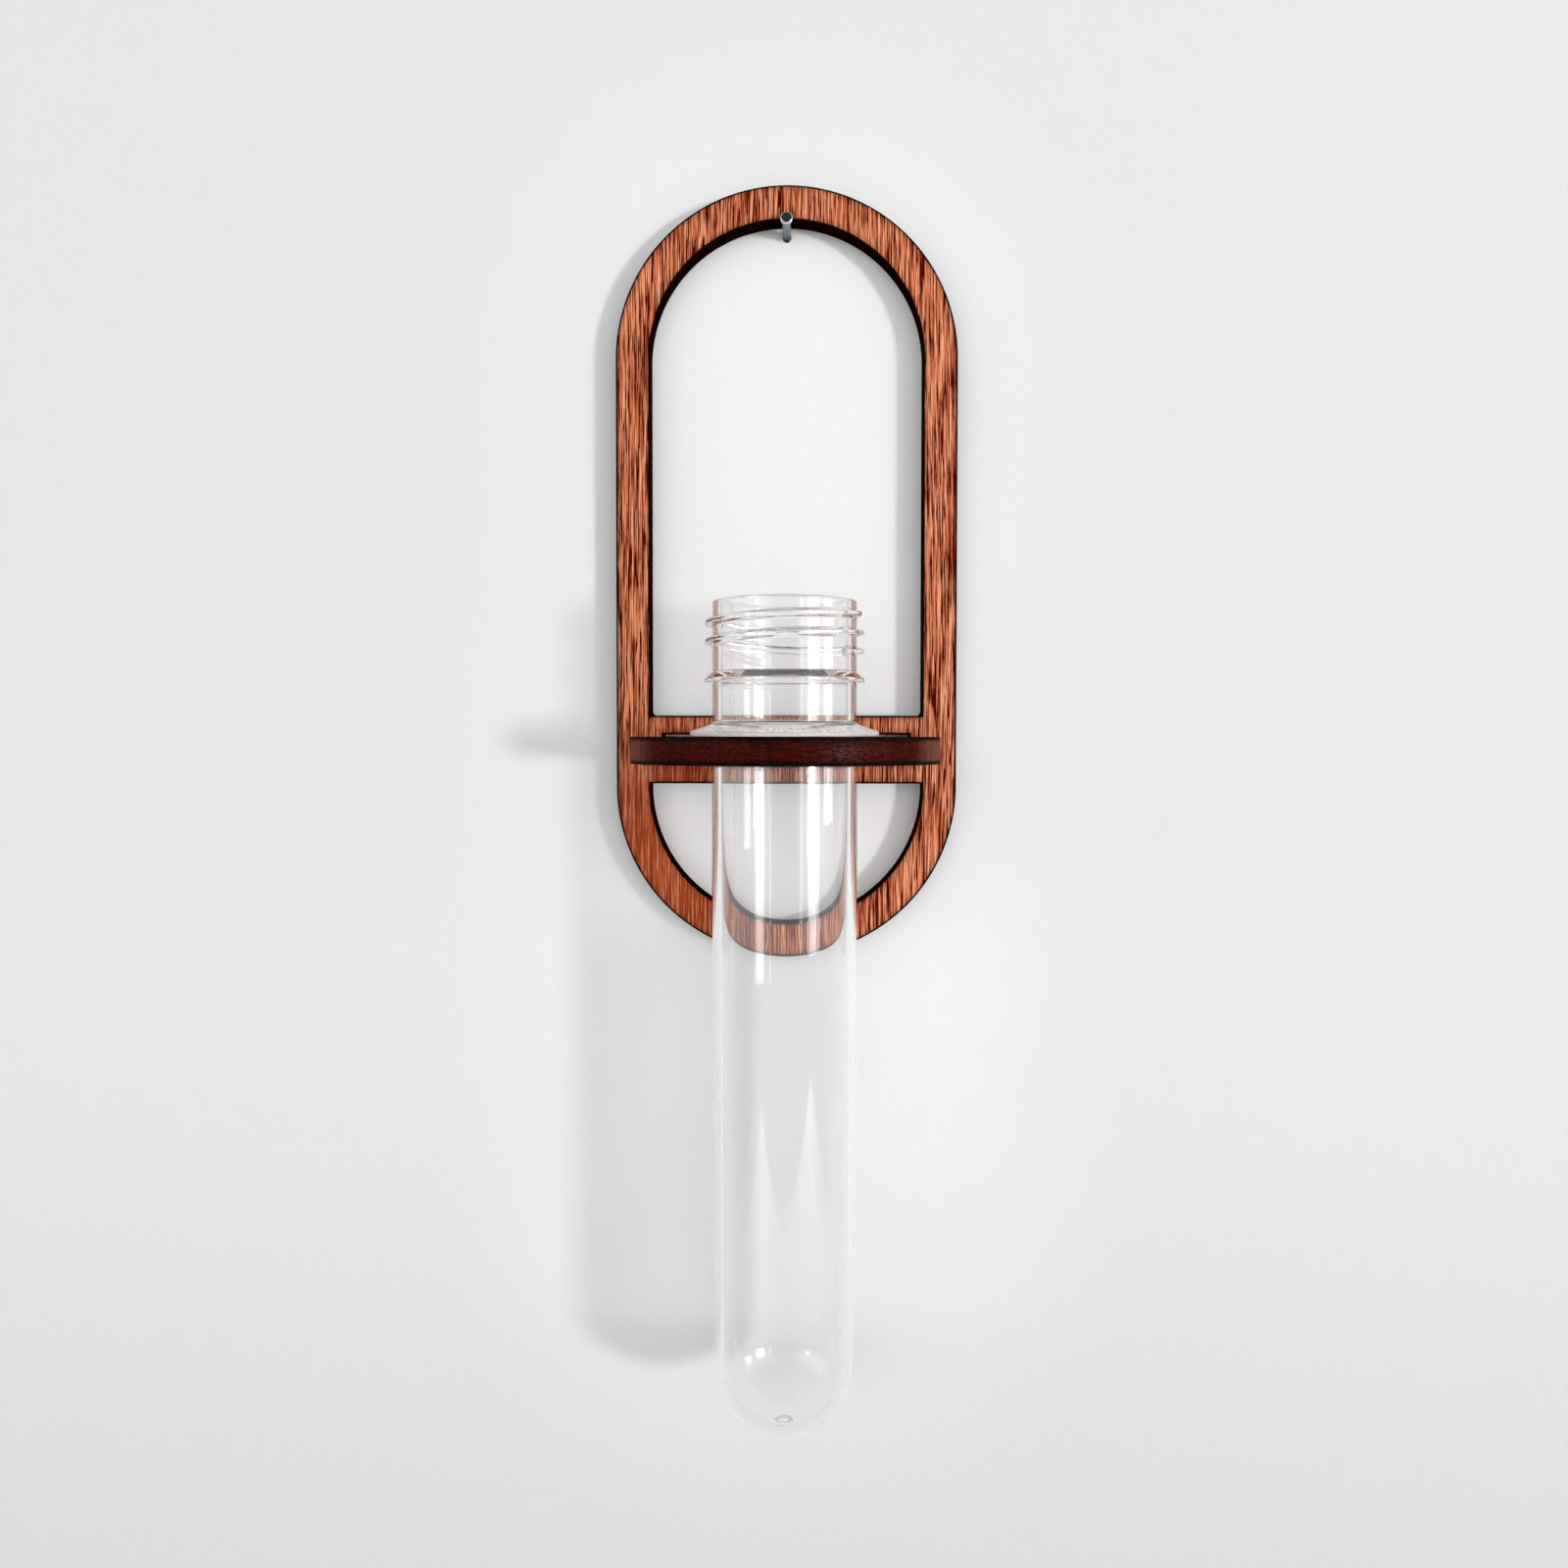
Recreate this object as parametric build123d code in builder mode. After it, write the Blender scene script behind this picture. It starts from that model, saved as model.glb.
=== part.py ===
"""Wall mounted flower tube: a wooden frame on a nail, with a shelf that holds a clear tube.

Millimetres. +X right, +Y into the wall, +Z up. The wall's face is y = 0, and the origin is on
the nail's axis at that face.
"""

import math
import os

from build123d import *

# Wood sheet
sheet = 4.8
frame_width = 63.5
frame_band = 6.35
arc_spacing = 79.5
bar_height = 12.7
bar_lift = 0.6
upper_corner = 0.9
lower_corner = 0.4

# How near an edge or corner lies to the place where it is picked
pick = 0.01

# Shelf and its joint
shelf_width = 55.5
shelf_straight = 10.0
tab_width = 45.6
slot_side_gap = 0.25
slot_top_gap = 0.45
tab_recess = 0.2
hole_gap = 0.4

# Tube
tube_stand_off = 20.0
tube_length = 145.0
neck_radius = 12.5
bore_radius = 11.1
bore_length = 22.6
rim_round = 0.5
body_top_radius = 12.7
body_low_radius = 12.05
wall = 1.5
gate_radius = 1.5
gate_height = 0.5

# Support ring and bead, as depths below the rim
ring_depth = 23.4
ring_radius = 16.3
ring_edge = 1.0
ring_slope = 1.1
ring_round = 0.3
bead_depth = 14.1
bead_radius = 13.85
bead_edge = 0.6
bead_slope = 0.9

# Screw thread
thread_radius = 13.75
thread_pitch = 3.18
thread_first = 8.7
thread_turns = 2.15
thread_lead_in = 40.0
thread_root = 2.2
thread_crest = 0.7
thread_sink = 0.4

# Nail
nail_radius = 0.85
nail_slant = 9.0
nail_length = 25.4
nail_stand_out = 7.6
nail_point = 3.0
nail_tip_radius = 0.15
head_radius = 1.2
head_height = 0.8
head_round = 0.3
groove_length = 0.7
groove_depth = 0.2
hang_gap = 0.04

# Frame heights, from the nail up to the arch that hangs on it and down to the bar
slant = math.radians(nail_slant)
hang_rise = sheet * math.tan(slant)
arch_top = hang_rise + nail_radius / math.cos(slant) + hang_gap
inner_width = frame_width - 2 * frame_band
inner_radius = inner_width / 2
upper_centre = arch_top - inner_radius
lower_centre = upper_centre - arc_spacing
frame_centre = (upper_centre + lower_centre) / 2
bar_bottom = lower_centre + bar_lift
bar_top = bar_bottom + bar_height
bar_centre = (bar_bottom + bar_top) / 2
shelf_bottom = bar_centre - sheet / 2
shelf_top = shelf_bottom + sheet

# Tube heights and radii
tube_y = -(sheet + tube_stand_off)
rim_z = shelf_top + ring_depth
tube_bottom = rim_z - tube_length
ring_low_z = shelf_top
ring_root_z = ring_low_z + ring_edge + ring_slope
bead_low_z = rim_z - bead_depth
low_centre_z = tube_bottom + body_low_radius
bore_end_z = rim_z - bore_length
inner_low_radius = body_low_radius - wall
hole_radius = body_top_radius + hole_gap


def front_of_wall(depth):
    """Sketch plane that looks at the wall from the room, depth in front of it."""
    return Plane(origin=(0, -depth, 0), x_dir=(1, 0, 0), z_dir=(0, -1, 0))


os.makedirs("parts", exist_ok=True)

# Frame: one sheet with two windows, a crossbar between them and a slot for the tab
with BuildPart() as wall_frame:
    with BuildSketch(front_of_wall(0)) as frame_face:
        with Locations((0, frame_centre)):
            SlotCenterToCenter(arc_spacing, frame_width, rotation=90)
            SlotCenterToCenter(arc_spacing, inner_width, rotation=90, mode=Mode.SUBTRACT)
        with Locations((0, bar_centre)):
            Rectangle(inner_width + frame_band, bar_height)
        for edge_height, radius in ((bar_top, upper_corner), (bar_bottom, lower_corner)):
            corners = [
                v for v in frame_face.vertices()
                if abs(v.Y - edge_height) < pick and abs(abs(v.X) - inner_radius) < pick
            ]
            fillet(corners, radius)
        with Locations((0, shelf_bottom + (sheet + slot_top_gap) / 2)):
            Rectangle(tab_width + 2 * slot_side_gap, sheet + slot_top_gap, mode=Mode.SUBTRACT)
    extrude(amount=sheet)
wall_frame.part.label = "wall_frame"
export_step(wall_frame.part, "parts/wall_frame.step")

# Shelf: straight sides and a round front, a hole for the tube and a tab behind
with BuildPart() as shelf:
    with BuildSketch(Plane.XY.offset(shelf_bottom)):
        with BuildLine():
            sides = Polyline(
                (-shelf_width / 2, -sheet - shelf_straight),
                (-shelf_width / 2, -sheet),
                (shelf_width / 2, -sheet),
                (shelf_width / 2, -sheet - shelf_straight),
            )
            ThreePointArc(sides @ 1, (0, -sheet - shelf_straight - shelf_width / 2), sides @ 0)
        make_face()
        with Locations((0, -(sheet + tab_recess) / 2)):
            Rectangle(tab_width, sheet - tab_recess)
        with Locations((0, tube_y)):
            Circle(hole_radius, mode=Mode.SUBTRACT)
    extrude(amount=sheet)
shelf.part.label = "shelf"
export_step(shelf.part, "parts/shelf.step")

# Tube: turned profile, then the thread round the neck
tube_axis = Axis((0, tube_y, 0), (0, 0, 1))
thread_low_z = rim_z - thread_first - thread_pitch * thread_lead_in / 360
lead_in = math.radians(-thread_lead_in)
thread_plane = Plane(
    origin=(0, tube_y, thread_low_z), x_dir=(math.cos(lead_in), math.sin(lead_in), 0), z_dir=(0, 0, 1)
)
with BuildPart() as tube:
    with BuildSketch(front_of_wall(-tube_y)):
        with BuildLine():
            outside = Polyline(
                (neck_radius, rim_z),
                (neck_radius, bead_low_z + bead_edge + bead_slope),
                (bead_radius, bead_low_z + bead_edge),
                (bead_radius, bead_low_z),
                (neck_radius, bead_low_z),
                (neck_radius, ring_root_z),
                (ring_radius, ring_low_z + ring_edge),
                (ring_radius, ring_low_z),
                (body_top_radius, ring_low_z),
                (body_low_radius, low_centre_z),
            )
            end = RadiusArc(outside @ 1, (0, tube_bottom), body_low_radius)
            floor = Line(end @ 1, (0, tube_bottom + wall))
            inner_end = RadiusArc(floor @ 1, (inner_low_radius, low_centre_z), -inner_low_radius)
            inside = Polyline(inner_end @ 1, (bore_radius, bore_end_z), (bore_radius, rim_z))
            Line(inside @ 1, outside @ 0)
        make_face()
    revolve(axis=tube_axis)
    rim_edges = tube.edges().filter_by(GeomType.CIRCLE).group_by(Axis.Z)[-1]
    fillet(rim_edges, rim_round)
    ring_edges = [e for e in tube.edges().filter_by(GeomType.CIRCLE) if abs(e.radius - ring_radius) < pick]
    fillet(ring_edges, ring_round)
    with Locations((0, tube_y, tube_bottom)):
        Cylinder(gate_radius, 2 * gate_height)
    with BuildLine(thread_plane):
        thread_path = Helix(thread_pitch, thread_pitch * thread_turns, neck_radius)
    thread_start = Plane(origin=thread_path @ 0, x_dir=thread_plane.x_dir, z_dir=thread_path % 0)
    with BuildSketch(thread_start):
        Polygon(
            (-thread_sink, -thread_root / 2),
            (thread_radius - neck_radius, -thread_crest / 2),
            (thread_radius - neck_radius, thread_crest / 2),
            (-thread_sink, thread_root / 2),
            align=None,
        )
    sweep(path=thread_path, is_frenet=True)
tube.part.label = "tube"
export_step(tube.part, "parts/tube.step")

# Nail: head, shank with a grip mark at the wall, and point, built along its own slanted axis
nail_plane = Plane(
    origin=(0, 0, 0), x_dir=(1, 0, 0), z_dir=(0, -math.cos(slant), math.sin(slant))
)
shank_end = nail_stand_out - nail_length + nail_point
with BuildPart() as wall_nail:
    with BuildSketch(nail_plane.offset(shank_end)):
        Circle(nail_radius)
    extrude(amount=-shank_end)
    with BuildSketch(nail_plane):
        Circle(nail_radius - groove_depth)
    extrude(amount=groove_length)
    with BuildSketch(nail_plane.offset(groove_length)):
        Circle(nail_radius)
    extrude(amount=nail_stand_out - head_height - groove_length)
    with BuildSketch(nail_plane.offset(nail_stand_out - head_height)):
        Circle(head_radius)
    extrude(amount=head_height)
    head_edges = wall_nail.edges().filter_by(GeomType.CIRCLE).sort_by(Axis.Y)[0]
    fillet(head_edges, head_round)
    with BuildSketch(nail_plane.offset(shank_end)) as point_base:
        Circle(nail_radius)
    with BuildSketch(nail_plane.offset(shank_end - nail_point)) as point_tip:
        Circle(nail_tip_radius)
    loft([point_base.sketch, point_tip.sketch])
wall_nail.part.label = "wall_nail"
export_step(wall_nail.part, "parts/wall_nail.step")
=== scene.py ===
"""Wall mounted flower tube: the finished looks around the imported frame.

Metres. +X right, +Y into the wall, +Z up, with the wall's face at y = 0.
"""

import math

import bmesh
import bpy
from mathutils import Matrix, Vector


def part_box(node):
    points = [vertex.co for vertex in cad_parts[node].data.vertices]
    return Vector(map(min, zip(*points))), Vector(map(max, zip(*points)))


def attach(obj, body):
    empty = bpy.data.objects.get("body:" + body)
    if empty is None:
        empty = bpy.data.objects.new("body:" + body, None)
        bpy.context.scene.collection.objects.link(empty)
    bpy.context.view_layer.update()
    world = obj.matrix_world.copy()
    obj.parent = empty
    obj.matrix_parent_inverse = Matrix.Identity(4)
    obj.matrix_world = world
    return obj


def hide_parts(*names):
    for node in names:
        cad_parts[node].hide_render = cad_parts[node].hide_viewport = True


bl_info = {
    "name": "Wall flower tube",
    "version": (1, 0, 0),
    "blender": (4, 5, 0),
    "location": "3D View > Sidebar > Flower tube",
    "description": "Wooden wall frame on a nail, with a shelf that holds a clear screw-neck tube",
    "category": "Add Mesh",
}

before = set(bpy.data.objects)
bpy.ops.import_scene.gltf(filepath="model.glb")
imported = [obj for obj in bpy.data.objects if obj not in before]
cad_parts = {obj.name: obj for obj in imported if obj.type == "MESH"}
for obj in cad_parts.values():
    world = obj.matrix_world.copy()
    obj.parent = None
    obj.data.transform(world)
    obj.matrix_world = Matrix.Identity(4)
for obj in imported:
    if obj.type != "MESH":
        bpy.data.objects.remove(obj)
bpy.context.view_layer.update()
frame_low, frame_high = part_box("wall_frame")
shelf_low, shelf_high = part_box("shelf")
tube_low, tube_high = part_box("tube")

MM = 0.001

# Sides of the large rounds, the shelf's hole and the nail
ROUND_SIDES, HOLE_SIDES, NAIL_SIDES = 192, 160, 48

# Tube profile in millimetres: heights above the rim and radii from the axis
RING_LOW, RING_RADIUS = -23.38, 16.3
BEAD_LOW, BEAD_RADIUS = -14.1, 13.85
BORE_END, RIM_ROUND = -22.6, 0.5
GATE_MARK = ((0.0, 0.0), (0.5, 0.0), (0.9, 0.0), (1.2, 0.08), (1.38, 0.25), (1.5, 0.42))
GATE_HEIGHT, GATE_ANGLE = 0.5, 8.2

# Screw thread: heights in millimetres above the rim, angles from straight right
THREAD_LEVEL = -8.7
THREAD_ZONE = (-12.4, -0.7)
THREAD_START, THREAD_STOP = math.radians(-40), math.radians(-40 + 360 * 2.15)
THREAD_HALF, THREAD_FLANK, THREAD_RUN_OUT = 0.85, 0.6, 0.6

# Clear plastic: refractive index, and the share of a lamp's light that each face of the tube lets
# through, clear and dimmed for its shadow
PLASTIC_INDEX = 1.57
CLEAR_SHARE, DIM_SHARE = 0.97, 0.64

# Lamps as seen from the tube: name, degrees to the right and up, degrees wide and tall, watts,
# and whether the lamp shows in gloss only
LAMP_TARGET, LAMP_DISTANCE = Vector((0, -0.02, -0.1)), 5.0
LAMPS = (
    ("window_light", 44, -2, 6, 6, 92.0, False),
    ("window_near", 48.5, -1.3, 16, 16.6, 32.0, True),
    ("window_far", 75.5, 1.5, 11, 11, 15.0, True),
    ("window_side", 28, -1.3, 2, 16.6, 2.6, True),
    ("window_left", -46, -1, 6, 7, 5.0, True),
)

# The photo's camera
EYE = Vector((0.00357, -0.27075, -0.09398))
PITCH, YAW, ROLL = math.radians(1.881), math.radians(-0.853), math.radians(0.056)
SENSOR, FOCAL_LENGTH, CLIP_START = 36.0, 32.625, 0.01


def ink(red, green, blue):
    """A colour as seen on a screen, 0 to 255, turned into the linear one that a shader takes."""
    def linear(level):
        part = level / 255
        return part / 12.92 if part <= 0.04045 else ((part + 0.055) / 1.055) ** 2.4
    return linear(red), linear(green), linear(blue), 1.0


def length(label, words, millimetres):
    """A length that a user may change, given in millimetres and kept in metres."""
    return bpy.props.FloatProperty(
        name=label, description=words, default=millimetres * MM, min=0.0, precision=5, unit="LENGTH"
    )


def colour(label, words, red, green, blue):
    """A colour that a user may change."""
    return bpy.props.FloatVectorProperty(
        name=label, description=words, default=ink(red, green, blue),
        size=4, min=0.0, max=1.0, subtype="COLOR",
    )


class FlowerTubeSizes(bpy.types.PropertyGroup):
    """Sizes that the frame's boxes don't give"""

    band: length("Frame band", "Width of the frame's ring, seen from the front", 6.35)
    bar_height: length("Bar height", "Height of the crossbar that carries the shelf", 12.7)
    bar_lift: length("Bar lift", "Height of the bar's lower edge above the lower arc's centre", 0.6)
    upper_corner: length("Upper corner", "Rounding of the upper window's two corners", 0.9)
    lower_corner: length("Lower corner", "Rounding of the lower window's two corners", 0.4)
    slot_width: length("Slot width", "Width of the slot for the shelf's tab", 46.1)
    slot_gap: length("Slot gap", "Free height above the tab in its slot", 0.45)
    edge_break: length("Edge break", "Rounding that sanding leaves along the wood's edges", 0.12)
    shelf_straight: length(
        "Shelf side", "Straight part of the shelf's sides, out from the frame", 10.0
    )
    tab_width: length("Tab width", "Width of the tab behind the shelf", 45.6)
    hole_radius: length("Hole radius", "Radius of the shelf's hole for the tube", 13.1)
    tube_axis: length("Tube axis", "How far the tube's axis stands in front of the wall", 24.8)
    neck_radius: length("Neck radius", "Outside radius of the tube's neck", 12.5)
    bore_radius: length("Bore radius", "Inside radius of the tube's mouth", 11.1)
    body_radius: length("Body radius", "Outside radius of the tube under its ring", 12.7)
    end_radius: length("End radius", "Outside radius of the tube's round end", 12.05)
    wall: length("Wall", "Thickness of the tube's wall at its round end", 1.5)
    thread_height: length("Thread height", "How far the thread stands out from the neck", 1.25)
    thread_pitch: length("Thread pitch", "Rise of the thread in one turn", 3.18)
    nail_radius: length("Nail radius", "Radius of the nail's shank", 0.85)
    nail_stand_out: length("Nail stand-out", "Length of the nail outside the wall", 7.6)
    nail_length: length("Nail length", "Whole length of the nail", 25.4)
    nail_slant: bpy.props.FloatProperty(
        name="Nail slant", description="How far the nail's head is tilted up",
        default=math.radians(9.0), subtype="ANGLE",
    )


class FlowerTubeFinish(bpy.types.PropertyGroup):
    """Colours of the wood, the tube, the nail and the stage"""

    wood_mid: colour("Wood", "Main colour of the red wood", 206, 101, 57)
    wood_light: colour("Wood light", "Lighter ribbons in the wood", 228, 132, 87)
    wood_pale: colour("Wood pale", "Thin pale streaks along the grain", 254, 187, 142)
    # Warm patches in the wood, also used for the patch of painted shade at the frame's lower left
    wood_orange_and_shade: colour("Wood orange", "Warmer patches in the wood", 174, 72, 24)
    wood_dark: colour("Wood pores", "Dark pores along the grain", 72, 10, 0)
    char: colour("Char", "Burnt edges", 15, 6, 4)
    char_red: colour("Char red", "Burnt wood where its red shows through", 80, 13, 4)
    # Colour of the painted sheen on the shelf's burnt ends, where its round front turns to the side
    char_end_sheen: colour("Char pale", "Burnt wood that is worn at the shelf's ends", 122, 74, 58)
    plastic: colour("Tube", "Tint of the clear tube", 251, 251, 251)
    steel: colour("Nail", "Bare steel of the nail", 112, 119, 130)
    # Colour of the painted highlight on the rim of the nail's head
    steel_rim_highlight: colour("Nail bright", "Worn rim of the nail's head", 205, 211, 218)
    # Colour of the dull film, also used to darken the head's face and for painted shade at the wall
    steel_film_and_shade: colour("Nail dark", "Dull film on the nail's head and at the wall", 46, 48, 53)
    plaster: colour("Wall", "Painted wall", 233, 233, 233)
    # Colour of the painted light on the wall behind the part
    plaster_painted_light: colour("Wall middle", "Paler middle of the painted wall", 248, 248, 248)
    # Colour of the painted shade on the wall low down
    plaster_painted_shade: colour("Wall low", "Painted wall low down", 218, 218, 217)
    ground: colour("Floor", "Pale floor", 228, 228, 227)


def settle():
    """Back to object mode with nothing selected."""
    if bpy.context.mode != "OBJECT":
        bpy.ops.object.mode_set(mode="OBJECT")
    bpy.ops.object.select_all(action="DESELECT")


def hold(piece):
    """Makes one piece the only one selected and the active one."""
    settle()
    piece.select_set(True)
    bpy.context.view_layer.objects.active = piece


def fresh_shape(add, **settings):
    """Adds a primitive at its place and applies its transform."""
    settle()
    add(**settings)
    bpy.ops.object.transform_apply(location=True, rotation=True, scale=True)
    return bpy.context.object


def pick(kind, test):
    """In edit mode, selects the vertices, edges or faces that pass a test."""
    bpy.ops.mesh.select_mode(type={"verts": "VERT", "edges": "EDGE", "faces": "FACE"}[kind])
    bpy.ops.mesh.select_all(action="DESELECT")
    mesh = bpy.context.object.data
    shape = bmesh.from_edit_mesh(mesh)
    found = [item for item in getattr(shape, kind) if test(item)]
    if not found:
        raise RuntimeError(f"no {kind} of {bpy.context.object.name} lie where they should")
    for item in found:
        item.select_set(True)
    shape.select_flush_mode()
    bmesh.update_edit_mesh(mesh)


def join_flats():
    """In edit mode, joins faces that lie in one plane and drops points along straight edges."""
    bpy.ops.mesh.select_mode(type="VERT")
    bpy.ops.mesh.select_all(action="SELECT")
    bpy.ops.mesh.dissolve_limited(angle_limit=math.radians(0.3))


def cut(piece, cutter):
    """Takes a cutter's shape out of a piece."""
    hold(piece)
    saw = piece.modifiers.new("saw", "BOOLEAN")
    saw.operation, saw.solver, saw.object = "DIFFERENCE", "EXACT", cutter
    bpy.ops.object.modifier_apply(modifier=saw.name)
    bpy.data.objects.remove(cutter)


def break_edges(piece, width):
    """Rounds the sharp edges a little and smooths the curved sides."""
    hold(piece)
    sand = piece.modifiers.new("sand", "BEVEL")
    sand.width, sand.segments = width, 2
    sand.limit_method, sand.angle_limit = "ANGLE", math.radians(40)
    bpy.ops.object.modifier_apply(modifier=sand.name)
    bpy.ops.object.shade_smooth_by_angle(angle=math.radians(32))


def place(piece, name, body, node, finish):
    """Names a finished piece, gives it its finish and lets it stand for its CAD node."""
    piece.name = piece.data.name = name
    piece.data.materials.clear()
    piece.data.materials.append(finish)
    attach(piece, body)
    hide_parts(node)
    settle()


class Wire:
    """A shader value; each operator on it adds a Math node to its tree."""

    def __init__(self, tree, socket=None):
        self.tree, self.socket = tree, socket

    def node(self, kind, settings=None, sockets=None, out=0):
        """Adds a node: its settings first, then the values or links of its sockets."""
        made = self.tree.nodes.new(kind)
        for name, value in (settings or {}).items():
            setattr(made, name, value)
        for name, value in (sockets or {}).items():
            if isinstance(value, Wire):
                self.tree.links.new(value.socket, made.inputs[name])
            else:
                made.inputs[name].default_value = value
        return Wire(self.tree, made.outputs[out] if len(made.outputs) else None)

    def sum(self, operation, *values):
        return self.node("ShaderNodeMath", {"operation": operation}, dict(enumerate(values)))

    def __add__(self, other):
        return self.sum("ADD", self, other)

    __radd__ = __add__

    def __sub__(self, other):
        return self.sum("SUBTRACT", self, other)

    def __rsub__(self, other):
        return self.sum("SUBTRACT", other, self)

    def __mul__(self, other):
        return self.sum("MULTIPLY", self, other)

    __rmul__ = __mul__

    def __truediv__(self, other):
        return self.sum("DIVIDE", self, other)

    def __rtruediv__(self, other):
        return self.sum("DIVIDE", other, self)

    def __pow__(self, other):
        return self.sum("POWER", self, other)

    def __abs__(self):
        return self.sum("ABSOLUTE", self)

    def low(self, other):
        return self.sum("MINIMUM", self, other)

    def high(self, other):
        return self.sum("MAXIMUM", self, other)

    def over(self, limit):
        return self.sum("GREATER_THAN", self, limit)

    def fade(self, start, end, first=0.0, last=1.0):
        """Goes smoothly from first to last as the value goes from start to end."""
        return self.node(
            "ShaderNodeMapRange", {"interpolation_type": "SMOOTHSTEP"},
            {"Value": self, "From Min": start, "From Max": end, "To Min": first, "To Max": last},
        )

    def mix(self, one, two):
        """A colour between two others, with this value as the share of the second."""
        return self.node("ShaderNodeMix", {"data_type": "RGBA"}, {0: self, 6: one, 7: two}, 2)

    def blend(self, one, two):
        """A surface between two others, with this value as the share of the second."""
        return self.node("ShaderNodeMixShader", None, {0: self, 1: one, 2: two})

    def veil(self, share):
        """A surface that lets this share of the light straight through."""
        return self.node("ShaderNodeBsdfTransparent", None, {"Color": (share, share, share, 1.0)})

    def parts(self):
        """The three parts of a vector."""
        return [self.node("ShaderNodeSeparateXYZ", None, {0: self}, out) for out in range(3)]

    def grain(self, x, y, z, detail=2.0, rough=0.5):
        """Smooth noise at a point whose parts are already scaled."""
        point = self.node("ShaderNodeCombineXYZ", None, {0: x, 1: y, 2: z})
        return self.node(
            "ShaderNodeTexNoise", None,
            {"Vector": point, "Scale": 1.0, "Detail": detail, "Roughness": rough},
        )

    def ray(self, fact):
        """What the Light Path node says of the ray."""
        return self.node("ShaderNodeLightPath", None, None, fact)

    def mirrored(self):
        """1 for a ray that a glossy surface has mirrored on its way, and 0 for others."""
        return self.ray("Glossy Depth").over(0.5)

    def seen(self):
        """1 where the eye looks, straight or through the tube, and 0 for light on its way."""
        through = self.ray("Is Transmission Ray") * (1 - self.mirrored())
        return self.ray("Is Camera Ray").high(through)

    def bump(self, height, strength, distance):
        return self.node(
            "ShaderNodeBump", None, {"Strength": strength, "Distance": distance, "Height": height}
        )

    def close(self, surface):
        """Ends the tree with its surface."""
        self.node("ShaderNodeOutputMaterial", None, {"Surface": surface})


def fresh_finish(name):
    """A new material with an empty tree, and its place in millimetres."""
    finish = bpy.data.materials.new(name)
    finish.use_nodes = True
    finish.node_tree.nodes.clear()
    wire = Wire(finish.node_tree)
    place_mm = wire.node(
        "ShaderNodeVectorMath", {"operation": "SCALE"},
        {0: wire.node("ShaderNodeTexCoord", None, None, "Object"), "Scale": 1 / MM},
    )
    return finish, wire, place_mm.parts()


def red_wood(wire, across, through, along, painted_shade_patch, finish):
    """Colour and relief of the red wood, and the share of its dark lines. The grain runs along
    the third direction, and a patch of painted shade makes the wood warmer and darker."""
    drift = wire.grain(across * 0.05, through * 0.05, along * 0.014, 1.0)
    side = across + (drift - 0.5) * 2.0
    ribbon = wire.grain(side * 0.3, through * 0.3, along * 0.02, 2.0)
    warmth = wire.grain(side * 0.06 + 9.0, through * 0.06, along * 0.03, 1.0)
    line = wire.grain(side * 3.3, through * 3.3, along * 0.075, 3.0, 0.75)
    pore = wire.grain(side * 4.2 + 4.0, through * 4.2, along * 0.12, 1.0)
    streaks = line.fade(0.49, 0.42) * (1.0 - painted_shade_patch * 0.5)
    pores = pore.fade(0.56, 0.6) * (1.0 - painted_shade_patch * 0.4)
    pales = line.fade(0.52, 0.63) * (0.9 - painted_shade_patch * 0.5)
    dark = streaks.high(pores)
    tone = ribbon.fade(0.35, 0.65).mix(finish.wood_mid, finish.wood_light)
    tone = ((warmth + painted_shade_patch * 0.4).fade(0.56, 0.74) * 0.9).mix(tone, finish.wood_orange_and_shade)
    tone = pales.mix(tone, finish.wood_pale)
    tone = dark.mix(tone, finish.wood_dark)
    relief = pales * 0.2 - streaks * 0.5 - pores
    return tone, relief, dark


def frame_lines(sizes):
    """What shapes the frame: its outer and inner radius, the centres of its upper and lower arcs,
    the bar's lower and upper edge, and the slot's."""
    outer = (frame_high.x - frame_low.x) / 2
    upper, lower = frame_high.z - outer, frame_low.z + outer
    bar_low = lower + sizes.bar_lift
    bar_top = bar_low + sizes.bar_height
    slot_top = shelf_high.z + sizes.slot_gap
    return outer, outer - sizes.band, upper, lower, bar_low, bar_top, shelf_low.z, slot_top


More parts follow.
